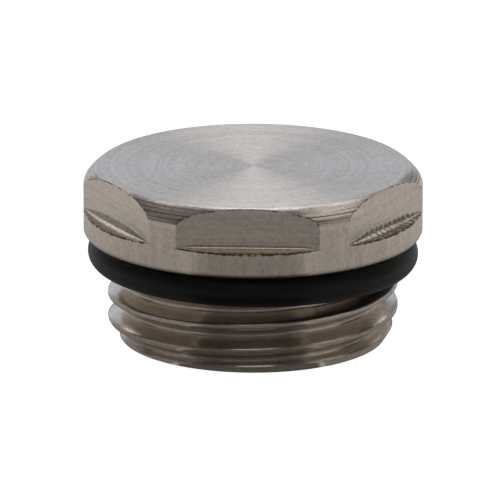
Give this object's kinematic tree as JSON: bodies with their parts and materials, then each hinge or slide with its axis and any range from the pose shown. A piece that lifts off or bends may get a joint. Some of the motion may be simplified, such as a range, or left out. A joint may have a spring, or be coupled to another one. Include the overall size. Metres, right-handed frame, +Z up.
{
  "type": "radiator blanking plug",
  "caption": "Plated brass blanking plug with a flatted round head, a rubber sealing ring under it and a half-inch pipe thread, to close a spare tapping on a radiator.",
  "frame": {"origin": "middle of the thread's end face, on the plug's axis, where it stands", "axes": "+Z up the axis from the thread's end to the top face of the head; one of the milled flats faces -Y"},
  "size_m": [0.0242, 0.0242, 0.0125],
  "materials": {
    "plated_brass": "nickel plated over turned and milled brass",
    "seal_rubber": "moulded, satin black"
  },
  "bodies": {
    "root": {"plug_body": "plated_brass", "o_ring": "seal_rubber"}
  },
  "joints": []
}
